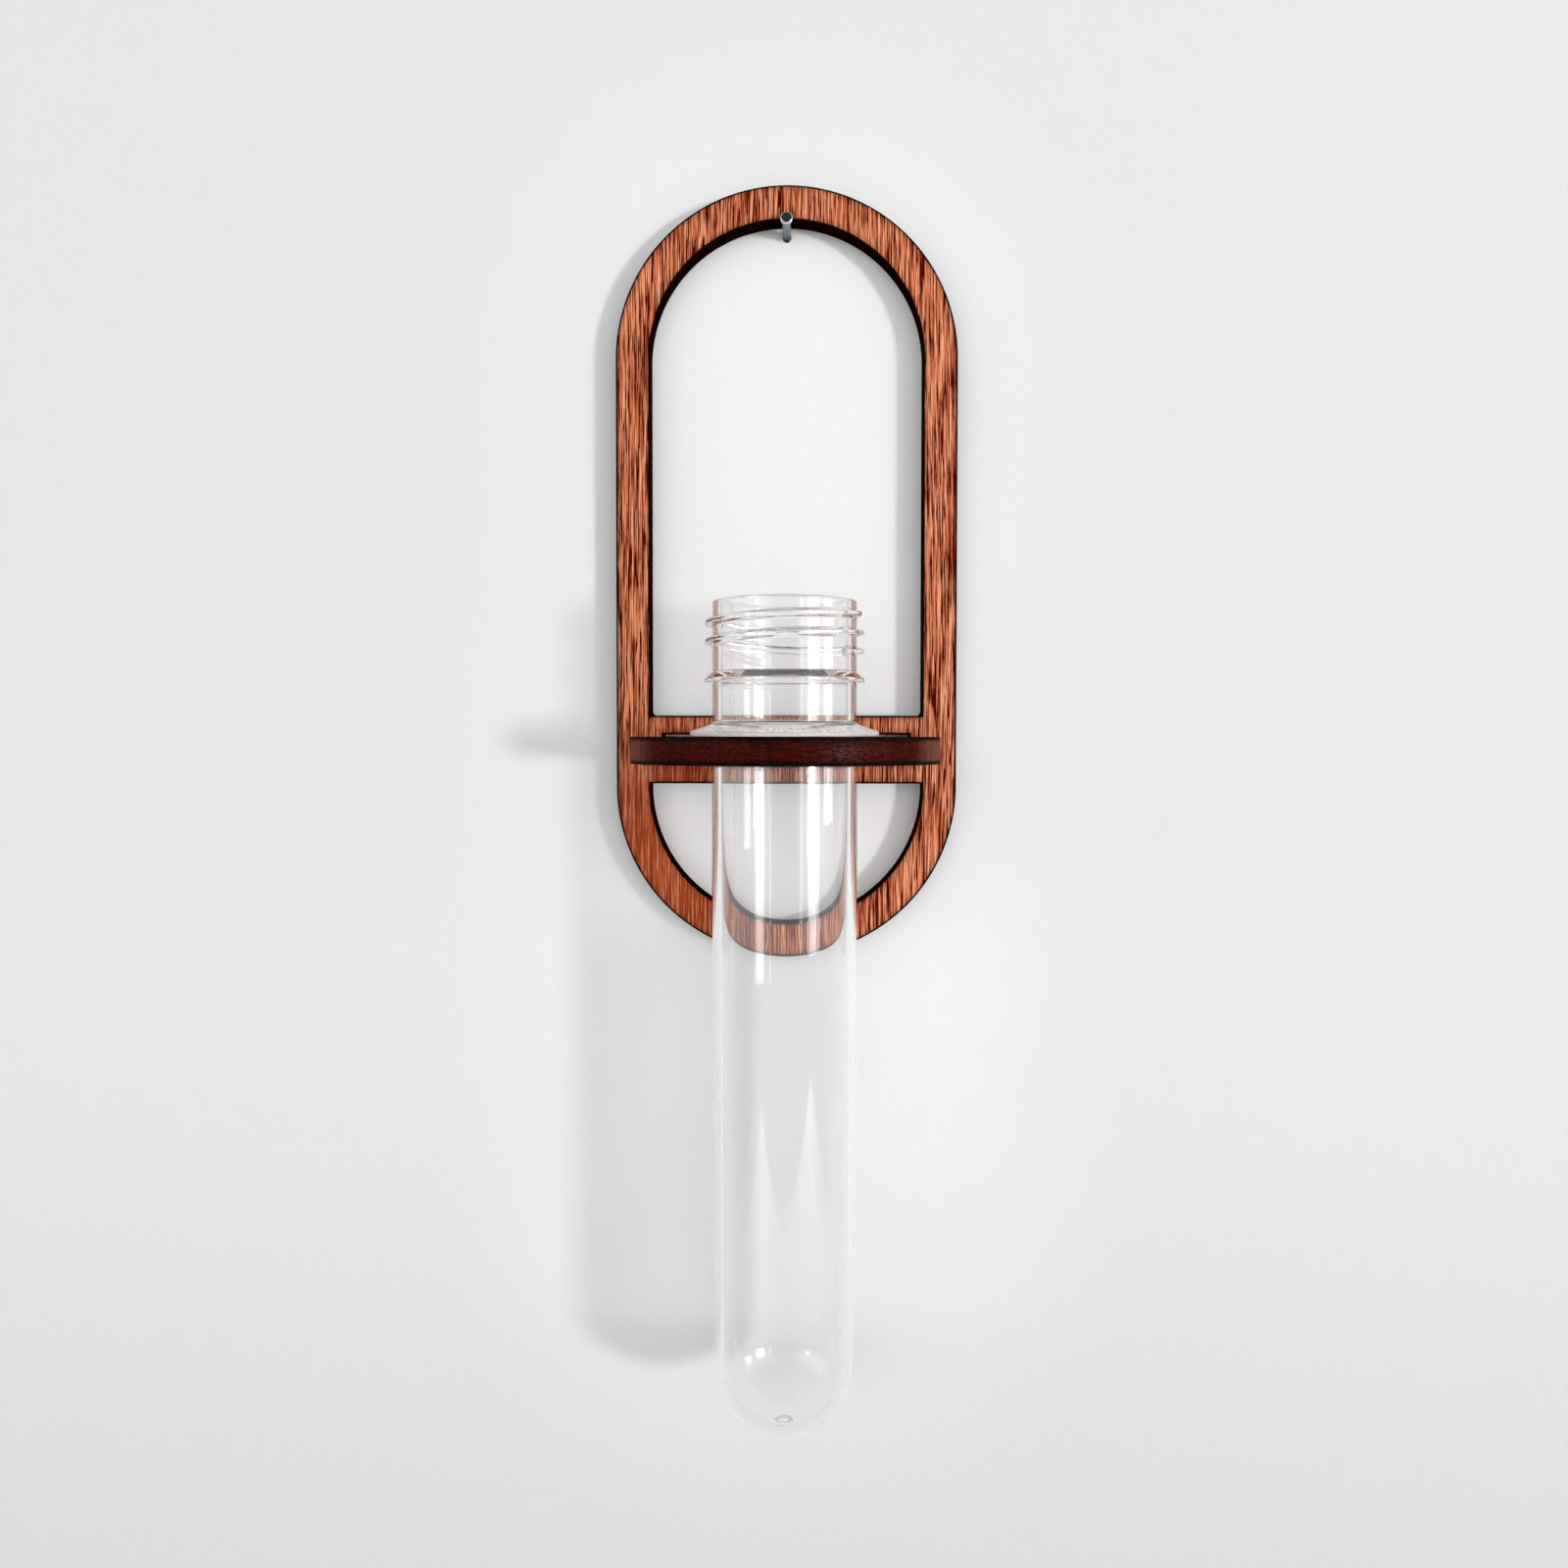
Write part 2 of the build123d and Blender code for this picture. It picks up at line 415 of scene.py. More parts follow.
def frame_wood(sizes, finish):
    """Red wood with burnt edges, for the frame."""
    material, wire, (x, y, z) = fresh_finish("frame_red_wood")
    # Painted shade: the wood is warmer and darker in a patch near the frame's lower left
    beside, above = x - frame_low.x / MM - 6.0, z - frame_low.z / MM - 18.0
    painted_shade_patch = ((beside * beside + above * above) ** 0.5).fade(30.0, 8.0)
    tone, relief, dark = red_wood(wire, x, y, z, painted_shade_patch, finish)

    # How far a place lies from the nearest cut edge
    lines = [line / MM for line in frame_lines(sizes)]
    outer, inner, upper, lower, bar_low, bar_top, slot_low, slot_top = lines
    rise = z - z.high(lower).low(upper)
    reach = (x * x + rise * rise) ** 0.5
    window = (reach - inner).high(bar_top - z).low((reach - inner).high(z - bar_low))
    slot_middle, slot_half = (slot_low + slot_top) / 2, (slot_top - slot_low) / 2
    slot = (abs(x) - sizes.slot_width / MM / 2).high(abs(z - slot_middle) - slot_half)
    edge = (outer - reach).low(window).low(slot)

    scorch = wire.grain(x * 0.5, y * 0.5, z * 0.5, 2.0)
    burn = (edge + (scorch - 0.5) * 0.25).fade(0.5, 0.22)
    glow = (edge + (scorch - 0.5) * 1.2).fade(1.5, 0.35) * 0.32
    streak = wire.grain(x * 3.5, y * 0.12, z * 3.5, 3.0, 0.65)
    black = (streak.fade(0.45, 0.8) * 0.3).mix(finish.char, finish.char_red)
    relief = burn.fade(0.0, 1.0) * (streak - 0.5) * 0.8 + relief * (1 - burn)
    wire.close(wire.node("ShaderNodeBsdfPrincipled", None, {
        "Base Color": burn.mix(glow.mix(tone, finish.wood_dark), black),
        "Roughness": 0.52 + dark * 0.12 + (streak - 0.5) * 0.16 + burn * 0.2,
        "Specular IOR Level": 0.0,
        "Coat Weight": (1 - burn) * (1 - dark) * 0.3, "Coat Roughness": 0.4,
        "Normal": wire.bump(relief, 0.35, 0.0002),
    }))
    return material


def shelf_wood(sizes, finish):
    """Red wood with deep burnt edges and a painted sheen on its burnt ends, for the shelf."""
    material, wire, (x, y, z) = fresh_finish("shelf_red_wood")
    tone, relief, dark = red_wood(wire, y, z, x, 0.0, finish)

    # How far a place lies from the nearest cut edge
    half = (shelf_high.x - shelf_low.x) / 2 / MM
    front = (y - (frame_low.y - sizes.shelf_straight) / MM).low(0.0)
    rim = half - (x * x + front * front) ** 0.5
    beside = y + sizes.tube_axis / MM
    hole = (x * x + beside * beside) ** 0.5 - sizes.hole_radius / MM
    edge = rim.low(hole)

    scorch = wire.grain(x * 0.45, y * 0.45, z * 0.45, 2.0)
    burn = (edge + (scorch - 0.5) * 0.3).fade(0.55, 0.22)
    glow = (edge + (scorch - 0.5) * 1.2).fade(1.6, 0.3) * 0.35
    streak = wire.grain(x * 2.2, y * 2.2, z * 0.1, 3.0, 0.65)
    layer = wire.grain(x * 0.25, y * 0.25, z * 2.6, 2.0).fade(0.3, 0.7) * 0.6 + 0.4
    depth = (z - shelf_low.z / MM).low(shelf_high.z / MM - z) + (streak - 0.5) * 0.5
    red = depth.fade(0.45, 1.1) * layer * (streak.fade(0.3, 0.7) * 0.5 + 0.5)
    # Painted sheen: the burnt ends of the shelf, where its front turns to the side, are made paler
    end_sheen = abs(x).fade(half - 6.5, half - 1.0) * (streak.fade(0.25, 0.6) * 0.7 + 0.3)
    sheen_mix = depth.fade(0.3, 1.0) * end_sheen
    black = sheen_mix.mix(red.mix(finish.char, finish.char_red), finish.char_end_sheen)
    relief = burn * (streak - 0.5) * 0.9 + relief * (1 - burn)
    wire.close(wire.node("ShaderNodeBsdfPrincipled", None, {
        "Base Color": burn.mix(glow.mix(tone, finish.wood_dark), black),
        "Roughness": 0.5 + dark * 0.12 + (streak - 0.5) * 0.2 + burn * 0.1,
        "Specular IOR Level": 0.0,
        "Coat Weight": (1 - dark) * 0.25 - burn * 0.12, "Coat Roughness": 0.35,
        "Normal": wire.bump(relief, 0.22, 0.0002),
    }))
    return material


def clear_plastic(sizes, finish):
    """Clear moulded plastic with faint flow lines and fine handling marks.

    Its ring, its gate mark and its round end are a little frosted. Lamps shine straight through
    it, more so in its upper part, and less at its round end and where its wall is seen edge on.
    """
    material, wire, (x, y, z) = fresh_finish("clear_plastic")
    beside = y + sizes.tube_axis / MM
    out = (x * x + beside * beside) ** 0.5
    level = z - shelf_high.z / MM
    end = z - tube_low.z / MM
    grazing = wire.node("ShaderNodeLayerWeight", None, {"Blend": 0.5}, "Facing")

    flow = wire.grain(x * 0.22, y * 0.22, z * 0.02, 1.0)
    marks = wire.grain(x * 2.5, y * 2.5, z * 0.5, 2.0)
    solid = wire.node("ShaderNodeBsdfPrincipled", None, {
        "Base Color": finish.plastic, "Roughness": 0.012 + marks.fade(0.62, 0.8) * 0.05,
        "IOR": PLASTIC_INDEX, "Transmission Weight": 1.0,
        "Normal": wire.bump(flow, 0.03, 0.0006),
    })

    ring = out.fade(12.8, 13.3) * level.fade(3.2, 2.2) * level.fade(-0.3, 0.1)
    ticks = wire.grain(x / out * 20.0, beside / out * 20.0, z * 0.1, 1.0)
    dull = ring * ticks.fade(0.38, 0.52, 0.28, 0.5).high(level.fade(1.0, 0.7) * 0.55)
    gate = out.fade(1.9, 1.6) * out.fade(0.9, 1.3) * end.fade(1.4, 1.0) * 0.5
    haze = out.fade(6.8, 5.0) * end.fade(3.2, 2.4) * grazing.fade(0.6, 0.95) * 0.6
    frost = wire.node("ShaderNodeBsdfDiffuse", None, {"Color": finish.plastic})
    solid = dull.high(gate).high(haze).blend(solid, frost)

    lamp, bounce = wire.ray("Is Shadow Ray"), wire.ray("Is Diffuse Ray")
    trapped = wire.ray("Glossy Depth").over(2.5)
    thick = end.fade(12.0, 6.0) * 0.9
    upper = level.fade(-45.0, -30.0) * 0.65
    open_share = (lamp.high(bounce) * (0.96 - thick - grazing * grazing * 0.4)).high(trapped)
    both = open_share.blend(solid, wire.veil(CLEAR_SHARE))
    wire.close((lamp * (0.9 - thick - upper)).blend(both, wire.veil(DIM_SHARE)))
    return material


def nail_steel(sizes, finish):
    """Bare drawn steel with fine lines and a dull film. Its head's face is darker, with a painted
    highlight on the head's rim and painted shade where the nail meets the wall."""
    material, wire, (x, y, z) = fresh_finish("nail_steel")
    drawn = wire.grain(x * 9.0, y * 0.5, z * 9.0, 3.0, 0.6)
    film = wire.grain(x * 0.9, y * 0.9, z * 0.9, 2.0)
    out = z * math.sin(sizes.nail_slant) - y * math.cos(sizes.nail_slant)
    across = z * math.cos(sizes.nail_slant) + y * math.sin(sizes.nail_slant)
    reach = (x * x + across * across) ** 0.5
    # The head's face is darker, and painted shade darkens the shank near the wall and inside it
    dark_face_and_wall_shade = (out.fade(7.3, 7.5) * reach.fade(1.0, 0.85)).high(out.fade(3.8, 1.0))
    # Painted highlight on the rim of the head
    rim = out.fade(7.0, 7.2) * reach.fade(0.9, 1.0)
    sheen_mix = (film.fade(0.35, 0.7) * 0.5).mix(finish.steel, finish.steel_film_and_shade)
    sheen_mix = rim.mix(sheen_mix, finish.steel_rim_highlight)
    wire.close(wire.node("ShaderNodeBsdfPrincipled", None, {
        "Base Color": (dark_face_and_wall_shade * 0.85).mix(sheen_mix, finish.steel_film_and_shade),
        "Metallic": 1.0, "Roughness": 0.06 + drawn * 0.06 + film * 0.05 + dark_face_and_wall_shade * 0.1,
        "Normal": wire.bump(drawn, 0.15, 0.0001),
    }))
    return material


def round_slab(radius, near, far, height):
    """A round slab that faces the room. No corner lies on its level axis, so its sides can be
    drawn straight."""
    half_step = math.pi / ROUND_SIDES
    return fresh_shape(
        bpy.ops.mesh.primitive_cylinder_add, vertices=ROUND_SIDES,
        radius=radius / math.cos(half_step), depth=far - near,
        location=(0, (near + far) / 2, height), rotation=(math.pi / 2, half_step, 0),
    )


def window_cutter(radius, height, level, corner, near, far):
    """A round slab, drawn out flat to the bar's edge, with two small round corners there."""
    def at_corner(edge):
        start, end = (vertex.co for vertex in edge.verts)
        beside, above = (start.x + end.x) / 2, (start.z + end.z) / 2
        on_corner = abs(abs(beside) - radius) < 0.05 * MM and abs(above - level) < 0.01 * MM
        return on_corner and abs(start.y - end.y) > MM

    cutter = round_slab(radius, near, far, height)
    bar_above = level > height
    bpy.ops.object.mode_set(mode="EDIT")
    pick("verts", lambda v: (v.co.z > height) == bar_above)
    bpy.ops.transform.resize(value=(1, 1, 0), center_override=(0, 0, level))
    join_flats()
    pick("edges", at_corner)
    bpy.ops.mesh.bevel(offset=corner, segments=6)
    bpy.ops.object.mode_set(mode="OBJECT")
    return cutter


class FLOWERTUBE_OT_wall_frame(bpy.types.Operator):
    """Cut the frame: a long ring with two windows, a crossbar and a slot"""

    bl_idname = "flower_tube.wall_frame"
    bl_label = "Wall frame"

    def execute(self, context):
        sizes = context.scene.flower_tube_sizes
        outer, inner, upper, lower, bar_low, bar_top, slot_low, slot_top = frame_lines(sizes)
        near, far = frame_low.y - MM, frame_high.y + MM
        piece = round_slab(outer, frame_low.y, frame_high.y, upper)
        bpy.ops.object.mode_set(mode="EDIT")
        pick("verts", lambda v: v.co.z < upper)
        bpy.ops.transform.translate(value=(0, 0, lower - upper))
        bpy.ops.object.mode_set(mode="OBJECT")
        cut(piece, window_cutter(inner, upper, bar_top, sizes.upper_corner, near, far))
        cut(piece, window_cutter(inner, lower, bar_low, sizes.lower_corner, near, far))
        cut(piece, fresh_shape(
            bpy.ops.mesh.primitive_cube_add, size=1,
            location=(0, (near + far) / 2, (slot_low + slot_top) / 2),
            scale=(sizes.slot_width, far - near, slot_top - slot_low),
        ))
        break_edges(piece, sizes.edge_break)
        finish = frame_wood(sizes, context.scene.flower_tube_finish)
        place(piece, "frame_of_red_wood", "frame", "wall_frame", finish)
        return {"FINISHED"}


class FLOWERTUBE_OT_shelf(bpy.types.Operator):
    """Cut the shelf: a round front, a hole for the tube and a tab that goes into the slot"""

    bl_idname = "flower_tube.shelf"
    bl_label = "Shelf"

    def execute(self, context):
        sizes = context.scene.flower_tube_sizes
        half = (shelf_high.x - shelf_low.x) / 2
        turn = frame_low.y - sizes.shelf_straight
        level, thick = (shelf_low.z + shelf_high.z) / 2, shelf_high.z - shelf_low.z
        half_step = math.pi / ROUND_SIDES
        piece = fresh_shape(
            bpy.ops.mesh.primitive_cylinder_add, vertices=ROUND_SIDES,
            radius=half / math.cos(half_step), depth=thick,
            location=(0, turn, level), rotation=(0, 0, half_step),
        )
        bpy.ops.object.mode_set(mode="EDIT")
        pick("verts", lambda v: v.co.y > turn)
        bpy.ops.transform.resize(value=(1, 0, 1), center_override=(0, frame_low.y, 0))
        join_flats()
        tab, tab_depth = sizes.tab_width / 2, shelf_high.y - frame_low.y
        for side in (-tab, tab):
            bpy.ops.mesh.select_all(action="SELECT")
            bpy.ops.mesh.bisect(plane_co=(side, 0, 0), plane_no=(1, 0, 0))
        pick("faces", lambda f: f.normal.y > 0.9 and abs(f.calc_center_median().x) < tab)
        bpy.ops.mesh.extrude_region_move(TRANSFORM_OT_translate={"value": (0, tab_depth, 0)})
        bpy.ops.object.mode_set(mode="OBJECT")
        cut(piece, fresh_shape(
            bpy.ops.mesh.primitive_cylinder_add, vertices=HOLE_SIDES,
            radius=sizes.hole_radius, depth=3 * thick, location=(0, -sizes.tube_axis, level),
        ))
        break_edges(piece, sizes.edge_break)
        finish = shelf_wood(sizes, context.scene.flower_tube_finish)
        place(piece, "shelf_of_red_wood", "frame", "shelf", finish)
        return {"FINISHED"}


def arc(centre_r, centre_z, radius, first, last, steps):
    """Points along an arc of the tube's profile, with angles in degrees from straight out."""
    turns = [math.radians(first + (last - first) * step / steps) for step in range(steps + 1)]
    return [(centre_r + radius * math.cos(t), centre_z + radius * math.sin(t)) for t in turns]


def run(start, end, step):
    """Points along a straight part of the profile, without its first end."""
    count = max(1, round(math.dist(start, end) / step))
    return [
        (start[0] + (end[0] - start[0]) * i / count, start[1] + (end[1] - start[1]) * i / count)
        for i in range(1, count + 1)
    ]


def tube_profile(sizes):
    """Half of the tube's section in millimetres, as radius and height above the rim: from the
    end's pole up the outside, over the rim and down the inside."""
    neck, bore, body = sizes.neck_radius / MM, sizes.bore_radius / MM, sizes.body_radius / MM
    end, wall = sizes.end_radius / MM, sizes.wall / MM
    full = (tube_high.z - tube_low.z) / MM
    centre = end - (full - GATE_HEIGHT)

    # Gate mark, round end and body, with a small hollow under the ring
    lines = [(r, z - full) for r, z in GATE_MARK]
    lines += arc(0, centre, end, GATE_ANGLE - 90, 0, 26)
    lines += run(lines[-1], (body, RING_LOW - 0.25), 6.0)
    lines += arc(body + 0.25, RING_LOW - 0.25, 0.25, 180, 90, 3)

    # Ring: flat below, rounded at its edge and sloped up to the neck
    lines += run(lines[-1], (RING_RADIUS - 0.45, RING_LOW), 0.8)
    lines += arc(RING_RADIUS - 0.45, RING_LOW + 0.45, 0.45, -90, 0, 8)[1:]
    lines += arc(RING_RADIUS - 0.55, RING_LOW + 0.55, 0.55, 0, 73, 8)
    lines += run((RING_RADIUS - 0.55, RING_LOW + 1.1), (neck + 0.5, RING_LOW + 2.0), 0.7)
    lines += arc(neck + 0.55, RING_LOW + 2.6, 0.55, 255, 180, 5)

    # Bead: the same in small
    lines += run(lines[-1], (neck, BEAD_LOW - 0.15), 0.8)
    lines += arc(neck + 0.15, BEAD_LOW - 0.15, 0.15, 180, 90, 3)
    lines += run(lines[-1], (BEAD_RADIUS - 0.2, BEAD_LOW), 0.4)
    lines += arc(BEAD_RADIUS - 0.2, BEAD_LOW + 0.2, 0.2, -90, 0, 4)[1:]
    lines += arc(BEAD_RADIUS - 0.3, BEAD_LOW + 0.5, 0.3, 0, 56, 4)
    lines += run((BEAD_RADIUS - 0.15, BEAD_LOW + 0.75), (neck + 0.15, BEAD_LOW + 1.71), 0.4)
    lines += arc(neck + 0.35, BEAD_LOW + 1.95, 0.35, 228, 180, 4)

    # Neck in short steps for the thread, the rim, and the inside
    lines += run(lines[-1], (neck, -RIM_ROUND), 0.12)
    lines += arc(neck - RIM_ROUND, -RIM_ROUND, RIM_ROUND, 0, 90, 7)[1:]
    lines += run(lines[-1], (bore + RIM_ROUND, 0.0), 0.3)
    lines += arc(bore + RIM_ROUND, -RIM_ROUND, RIM_ROUND, 90, 180, 7)[1:]
    lines += run(lines[-1], (bore, BORE_END), 1.5)
    lines += run((bore, BORE_END), (end - wall, centre), 6.0)
    lines += arc(0, centre, end - wall, 0, -90, 24)[1:]
    return lines


def ease(share):
    """Takes a share from 0 to 1 with a soft start and stop."""
    return share * share * (3 - 2 * share)


def thread_weight(angle, height, pitch):
    """How high the screw thread stands at a place on the neck, from 0 to 1: a blunt ridge that
    rises to the right across the front and runs out at both ends."""
    best = 0.0
    for turn in range(-1, 4):
        along = angle + 2 * math.pi * turn
        if not THREAD_START <= along <= THREAD_STOP:
            continue
        away = abs(height - THREAD_LEVEL - pitch * along / (2 * math.pi))
        flank = min(1.0, max(0.0, (THREAD_HALF - away) / THREAD_FLANK))
        run_out = min(1.0, min(along - THREAD_START, THREAD_STOP - along) / THREAD_RUN_OUT)
        best = max(best, ease(flank) * ease(run_out))
    return best


class FLOWERTUBE_OT_tube(bpy.types.Operator):
    """Spin the clear tube with its ring, bead and round end, then raise its screw thread"""

    bl_idname = "flower_tube.tube"
    bl_label = "Tube"

    def execute(self, context):
        sizes = context.scene.flower_tube_sizes
        axis_y, rim = -sizes.tube_axis, tube_high.z
        lines = [Vector((r * MM, axis_y, rim + z * MM)) for r, z in tube_profile(sizes)]
        piece = fresh_shape(bpy.ops.mesh.primitive_plane_add, size=MM, location=lines[0])
        bpy.ops.object.mode_set(mode="EDIT")
        bpy.ops.mesh.select_mode(type="VERT")
        bpy.ops.mesh.select_all(action="SELECT")
        bpy.ops.mesh.merge(type="CENTER")
        for here, there in zip(lines, lines[1:]):
            bpy.ops.mesh.extrude_vertices_move(TRANSFORM_OT_translate={"value": there - here})
        bpy.ops.mesh.select_all(action="SELECT")
        bpy.ops.mesh.remove_doubles(threshold=0.01 * MM)
        bpy.ops.mesh.select_all(action="SELECT")
        bpy.ops.mesh.spin(
            steps=ROUND_SIDES, angle=2 * math.pi, center=(0, axis_y, 0), axis=(0, 0, 1)
        )
        bpy.ops.mesh.select_all(action="SELECT")
        bpy.ops.mesh.remove_doubles(threshold=0.002 * MM)
        bpy.ops.mesh.normals_make_consistent(inside=False)
        bpy.ops.object.mode_set(mode="OBJECT")

        low, high = THREAD_ZONE
        outside = sizes.neck_radius - 0.05 * MM
        ridge = piece.vertex_groups.new(name="thread")
        for v in piece.data.vertices:
            beside, height = v.co.y - axis_y, (v.co.z - rim) / MM
            if low < height < high and math.hypot(v.co.x, beside) > outside:
                angle = math.atan2(beside, v.co.x)
                weight = thread_weight(angle, height, sizes.thread_pitch / MM)
                if weight:
                    ridge.add([v.index], weight, "REPLACE")
        hold(piece)
        swell = piece.modifiers.new("thread", "DISPLACE")
        swell.vertex_group, swell.direction = ridge.name, "NORMAL"
        swell.strength, swell.mid_level = sizes.thread_height, 0.0
        bpy.ops.object.modifier_apply(modifier=swell.name)
        bpy.ops.object.shade_smooth_by_angle(angle=math.radians(50))
        piece.vertex_groups.clear()
        finish = clear_plastic(sizes, context.scene.flower_tube_finish)
        place(piece, "clear_tube", "tube", "tube", finish)
        return {"FINISHED"}


def nail_profile(sizes):
    """The nail in millimetres, as distance out of the wall and radius, from its tip to its head."""
    shank, out = sizes.nail_radius / MM, sizes.nail_stand_out / MM
    tip = out - sizes.nail_length / MM
    grip = shank - 0.2
    point = [(tip, 0.15), (tip + 1.5, 0.52), (tip + 3.0, shank)]
    grip_mark = [(-0.05, shank), (0.05, grip), (0.6, grip), (0.75, shank)]
    throat = [(out - 1.05, shank), (out - 0.85, shank + 0.08), (out - 0.78, 1.08)]
    rim = [(out - 0.7, 1.18), (out - 0.32, 1.2), (out - 0.14, 1.12), (out - 0.03, 0.96)]
    dimple = [(out, 0.78), (out - 0.02, 0.62), (out - 0.12, 0.46), (out - 0.17, 0.2)]
    return point + grip_mark + throat + rim + dimple


class FLOWERTUBE_OT_wall_nail(bpy.types.Operator):
    """Draw the nail: point, shank with a grip mark, and a round head with a small dimple"""

    bl_idname = "flower_tube.wall_nail"
    bl_label = "Nail"

    def execute(self, context):
        sizes = context.scene.flower_tube_sizes
        steps = [(out * MM, radius * MM) for out, radius in nail_profile(sizes)]
        tip, tip_radius = steps[0]
        piece = fresh_shape(
            bpy.ops.mesh.primitive_circle_add, vertices=NAIL_SIDES, radius=tip_radius,
            fill_type="NGON", location=(0, 0, tip),
        )
        bpy.ops.object.mode_set(mode="EDIT")
        bpy.ops.mesh.select_all(action="SELECT")
        for (low, small), (high, large) in zip(steps, steps[1:]):
            wider = large / small
            bpy.ops.mesh.extrude_region_move(TRANSFORM_OT_translate={"value": (0, 0, high - low)})
            bpy.ops.transform.resize(value=(wider, wider, 1), center_override=(0, 0, high))
        bpy.ops.mesh.select_all(action="SELECT")
        bpy.ops.mesh.normals_make_consistent(inside=False)
        bpy.ops.object.mode_set(mode="OBJECT")
        piece.rotation_euler = (math.pi / 2 - sizes.nail_slant, 0, 0)
        bpy.ops.object.transform_apply(location=True, rotation=True, scale=True)
        bpy.ops.object.shade_smooth_by_angle(angle=math.radians(40))
        finish = nail_steel(sizes, context.scene.flower_tube_finish)
        place(piece, "steel_nail", "nail", "wall_nail", finish)
        return {"FINISHED"}


def matt_paint(wire, x, y, z, sockets):
    """A matt painted surface with fine grit, and the sockets that set it apart."""
    grit = wire.grain(x * 0.5, y * 0.5, z * 0.5, 3.0, 0.6)
    return wire.node("ShaderNodeBsdfPrincipled", None, {
        "Roughness": 0.85, "Specular IOR Level": 0.2,
        "Normal": wire.bump(grit, 0.12, 0.0008), **sockets,
    })


def wall_paint(finish):
    """Pale paint: painted light makes it paler behind the part and painted shade greyer low down.
    It is clear from behind and right at the wall's face, so the wall hides nothing of the part."""
    material, wire, (x, y, z) = fresh_finish("wall_paint")
    cloud = wire.grain(x * 0.012, y * 0.012, z * 0.012, 3.0)
    above = z - z.high(-190.0).low(-24.0)
    away = (x * x + y * y + above * above) ** 0.5
    # Painted light: the wall is paler close behind the part
    shade = away.fade(18.0, 70.0).mix(finish.plaster_painted_light, finish.plaster)
    shade = (cloud.fade(0.3, 0.7) * 0.3).mix(shade, finish.plaster)
    # Painted shade: the wall is greyer low down
    shade = z.fade(-130.0, -300.0).mix(shade, finish.plaster_painted_shade)
    behind = wire.node("ShaderNodeNewGeometry", None, None, "Backfacing")
    near = 1 - wire.ray("Ray Length").over(0.0006)
    surface = matt_paint(wire, x, y, z, {"Base Color": shade})
    wire.close(behind.high(near).blend(surface, wire.veil(1.0)))
    return material


def floor_paint(finish):
    """Pale paint, lifted a little for the eye."""
    material, wire, (x, y, z) = fresh_finish("floor_paint")
    lift = wire.seen().high(wire.mirrored()) * 0.4
    wire.close(matt_paint(wire, x, y, z, {
        "Base Color": finish.ground,
        "Emission Color": lift.mix((0, 0, 0, 1), finish.ground), "Emission Strength": 1.0,
    }))
    return material


def soft_lamp(name, turn, rise, wide, tall, power, gloss_only):
    """A soft lamp that faces the tube. One for gloss only shows as a window in the tube and the
    nail, and lights nothing else."""
    turn, rise = math.radians(turn), math.radians(rise)
    lamp = bpy.data.lights.new(name, "AREA")
    lamp.shape, lamp.energy = "RECTANGLE", power
    lamp.size, lamp.size_y = [
        2 * LAMP_DISTANCE * math.tan(math.radians(angle) / 2) for angle in (wide, tall)
    ]
    stand = bpy.data.objects.new(name, lamp)
    bpy.context.scene.collection.objects.link(stand)
    level = math.cos(rise)
    out = Vector((math.sin(turn) * level, -math.cos(turn) * level, math.sin(rise)))
    stand.location = LAMP_TARGET + LAMP_DISTANCE * out
    stand.rotation_euler = (-out).to_track_quat("-Z", "Y").to_euler()
    stand.visible_diffuse = not gloss_only


def room_light(scene):
    """Lights the room with a level band, mostly from the front. Mirrored rays see the band all
    round, darker behind the eye, with a pale room below; the eye sees an even backdrop."""
    world = scene.world or bpy.data.worlds.new("room")
    scene.world = world
    world.use_nodes = True
    world.cycles.sampling_method = "NONE"
    world.node_tree.nodes.clear()
    wire = Wire(world.node_tree)
    aim = wire.node("ShaderNodeTexCoord", None, None, "Generated").parts()
    behind_eye = (-1.0 * aim[1]).fade(0.8, 0.98)
    level_band = abs(aim[2] - 0.1).fade(0.42, 0.05)
    from_front = 0.3 + aim[1] * aim[1] * 1.07
    mirrored, seen = wire.mirrored(), wire.seen()
    room = 0.12 + aim[2].fade(-0.1, 0.5) * 0.35 + level_band * 1.45
    spread = from_front + mirrored * (1 - behind_eye * 0.7 - from_front)
    room = room * (1 - aim[0] * 0.06) * spread
    room = room.high(mirrored * aim[2].fade(-0.04, -0.12) * 0.6)
    level = seen * 0.9 + (1 - seen) * room
    back = wire.node("ShaderNodeBackground", None, {"Color": (1, 1, 1, 1), "Strength": level})
    wire.node("ShaderNodeOutputWorld", None, {"Surface": back})


def photo_camera(scene):
    """Sets the camera at the photo's place and angle."""
    ahead = Vector((
        math.sin(YAW) * math.cos(PITCH), math.cos(YAW) * math.cos(PITCH), -math.sin(PITCH)
    ))
    level_right = Vector((math.cos(YAW), -math.sin(YAW), 0))
    level_up = level_right.cross(ahead)
    right = level_right * math.cos(ROLL) + level_up * math.sin(ROLL)
    up = level_up * math.cos(ROLL) - level_right * math.sin(ROLL)
    lens = bpy.data.cameras.new("camera")
    lens.sensor_width, lens.lens, lens.clip_start = SENSOR, FOCAL_LENGTH, CLIP_START
    camera = bpy.data.objects.new("camera", lens)
    scene.collection.objects.link(camera)
    turned = Matrix((right, up, -ahead)).transposed().to_4x4()
    camera.matrix_world = Matrix.Translation(EYE) @ turned
    scene.camera = camera


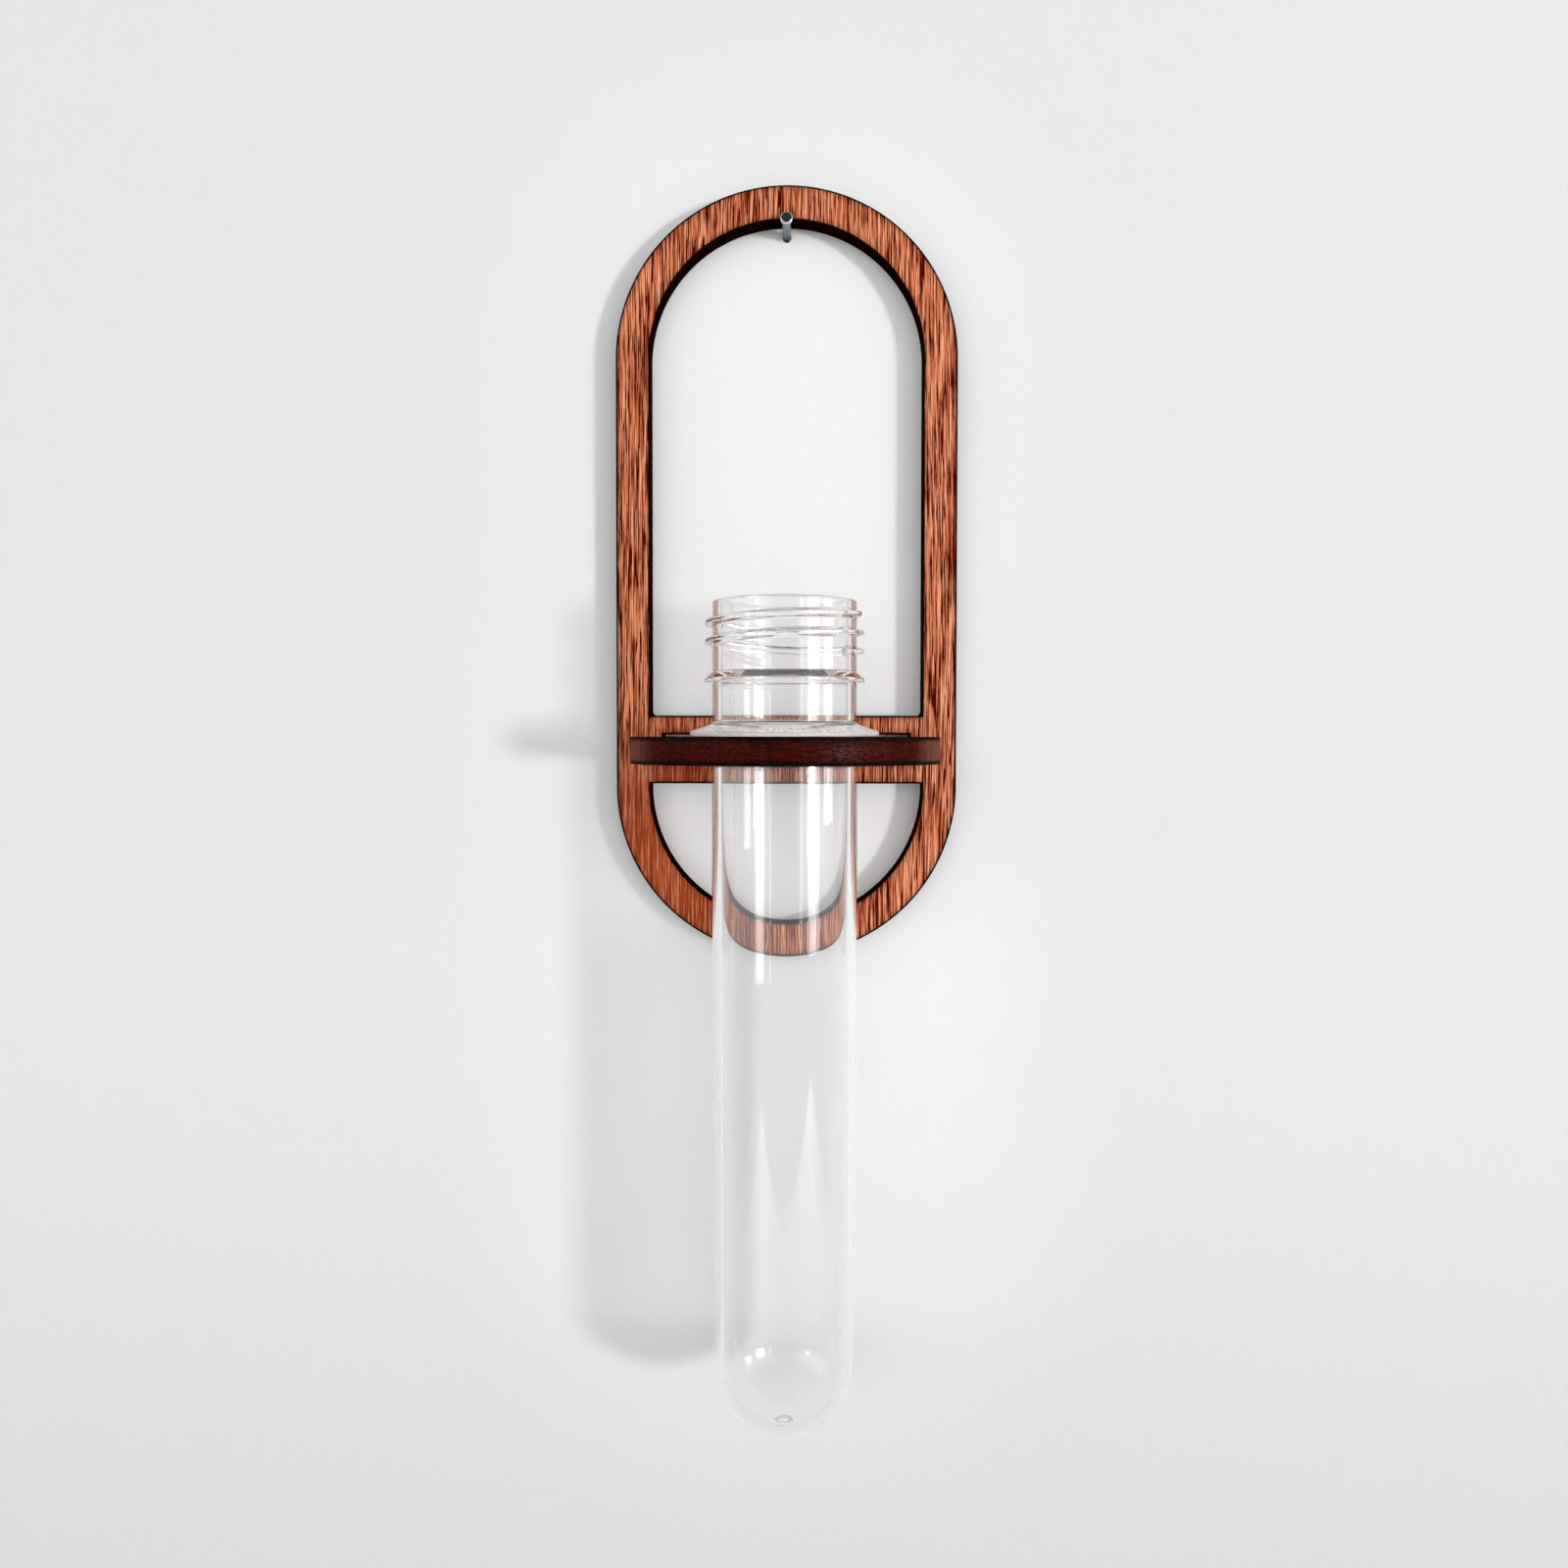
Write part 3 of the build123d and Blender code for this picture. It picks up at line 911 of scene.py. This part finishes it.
class FLOWERTUBE_OT_stage(bpy.types.Operator):
    """Set the stage: a pale wall and floor, soft light from the right and the camera"""

    bl_idname = "flower_tube.stage"
    bl_label = "Stage"

    def execute(self, context):
        finish = context.scene.flower_tube_finish
        wall = fresh_shape(
            bpy.ops.mesh.primitive_plane_add, size=4.0,
            location=(0, 0.0002, 0.8), rotation=(math.pi / 2, 0, 0),
        )
        wall.name = "stage_wall"
        wall.data.materials.append(wall_paint(finish))
        ground = fresh_shape(bpy.ops.mesh.primitive_plane_add, size=6.0, location=(0, 0, -1.2))
        ground.name = "stage_floor"
        ground.data.materials.append(floor_paint(finish))
        for lamp in LAMPS:
            soft_lamp(*lamp)
        room_light(context.scene)
        photo_camera(context.scene)
        context.scene.view_settings.view_transform = "Standard"
        return {"FINISHED"}


class FLOWERTUBE_PT_panel(bpy.types.Panel):
    """Pieces, sizes and colours of the flower tube"""

    bl_idname = "FLOWERTUBE_PT_panel"
    bl_label = "Flower tube"
    bl_space_type = "VIEW_3D"
    bl_region_type = "UI"
    bl_category = "Flower tube"

    def draw(self, context):
        for step in STEPS:
            self.layout.operator(step.bl_idname)
        for group in (context.scene.flower_tube_sizes, context.scene.flower_tube_finish):
            column = self.layout.column(align=True)
            for name in group.__annotations__:
                column.prop(group, name)


STEPS = (
    FLOWERTUBE_OT_wall_frame,
    FLOWERTUBE_OT_shelf,
    FLOWERTUBE_OT_tube,
    FLOWERTUBE_OT_wall_nail,
    FLOWERTUBE_OT_stage,
)
CLASSES = (FlowerTubeSizes, FlowerTubeFinish, *STEPS, FLOWERTUBE_PT_panel)


def register():
    for kind in CLASSES:
        bpy.utils.register_class(kind)
    bpy.types.Scene.flower_tube_sizes = bpy.props.PointerProperty(type=FlowerTubeSizes)
    bpy.types.Scene.flower_tube_finish = bpy.props.PointerProperty(type=FlowerTubeFinish)


def unregister():
    del bpy.types.Scene.flower_tube_finish
    del bpy.types.Scene.flower_tube_sizes
    for kind in reversed(CLASSES):
        bpy.utils.unregister_class(kind)


def main():
    register()
    bpy.ops.flower_tube.wall_frame()
    bpy.ops.flower_tube.shelf()
    bpy.ops.flower_tube.tube()
    bpy.ops.flower_tube.wall_nail()
    bpy.ops.flower_tube.stage()


if __name__ == "__main__":
    main()
